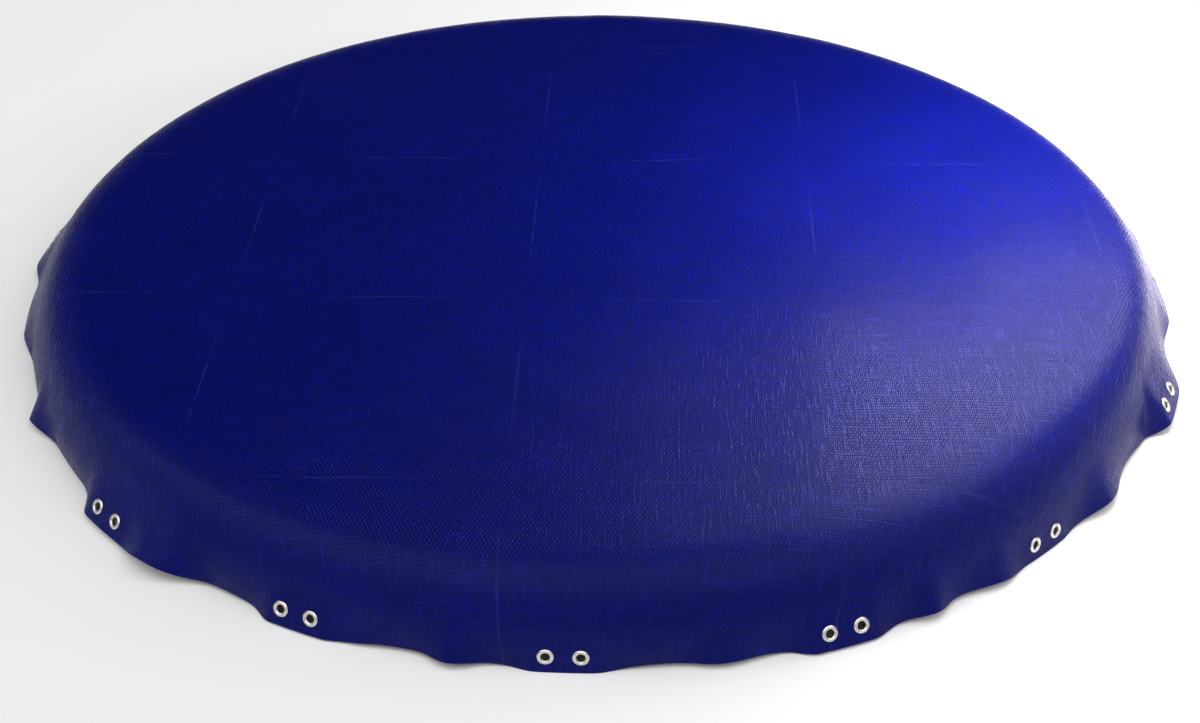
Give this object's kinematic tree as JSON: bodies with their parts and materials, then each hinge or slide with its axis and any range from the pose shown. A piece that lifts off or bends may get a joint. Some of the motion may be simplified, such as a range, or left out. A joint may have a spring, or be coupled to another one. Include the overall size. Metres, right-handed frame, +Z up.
{
  "type": "spa cover",
  "caption": "Round coated-cloth cover that drapes over a hot tub's rim, with a wavy hanging skirt and pairs of metal eyelets round its hem.",
  "frame": {"origin": "centre of the flat top panel's underside, where the cover rests on the tub", "axes": "+Z up out of the top panel, front of the cover toward -Y, +X to the right seen from the front"},
  "size_m": [1.9009, 1.8434, 0.1346],
  "materials": {
    "cover_cloth": "satin",
    "facing_cloth": "satin",
    "eyelet_metal": "satin"
  },
  "bodies": {
    "root": {"cover_sheet": "cover_cloth", "eyelet_01": "eyelet_metal", "eyelet_02": "eyelet_metal", "eyelet_03": "eyelet_metal", "eyelet_04": "eyelet_metal", "eyelet_05": "eyelet_metal", "eyelet_06": "eyelet_metal", "eyelet_07": "eyelet_metal", "eyelet_08": "eyelet_metal", "eyelet_09": "eyelet_metal", "eyelet_10": "eyelet_metal", "eyelet_11": "eyelet_metal", "eyelet_12": "eyelet_metal", "eyelet_13": "eyelet_metal", "eyelet_14": "eyelet_metal", "eyelet_15": "eyelet_metal", "eyelet_16": "eyelet_metal", "eyelet_17": "eyelet_metal", "eyelet_18": "eyelet_metal", "eyelet_19": "eyelet_metal", "eyelet_20": "eyelet_metal", "eyelet_21": "eyelet_metal", "eyelet_22": "eyelet_metal", "eyelet_23": "eyelet_metal", "eyelet_24": "eyelet_metal", "eyelet_25": "eyelet_metal", "eyelet_26": "eyelet_metal", "eyelet_27": "eyelet_metal", "eyelet_28": "eyelet_metal", "eyelet_29": "eyelet_metal", "eyelet_30": "eyelet_metal", "hem_facing_1": "facing_cloth", "hem_facing_2": "facing_cloth", "hem_facing_3": "facing_cloth", "hem_facing_4": "facing_cloth", "hem_facing_5": "facing_cloth", "washer_pair_01": "eyelet_metal", "washer_pair_02": "eyelet_metal", "washer_pair_03": "eyelet_metal", "washer_pair_04": "eyelet_metal", "washer_pair_05": "eyelet_metal", "washer_pair_06": "eyelet_metal", "washer_pair_07": "eyelet_metal", "washer_pair_08": "eyelet_metal", "washer_pair_09": "eyelet_metal", "washer_pair_10": "eyelet_metal", "washer_pair_11": "eyelet_metal", "washer_pair_12": "eyelet_metal", "washer_pair_13": "eyelet_metal", "washer_pair_14": "eyelet_metal", "washer_pair_15": "eyelet_metal"}
  },
  "joints": []
}
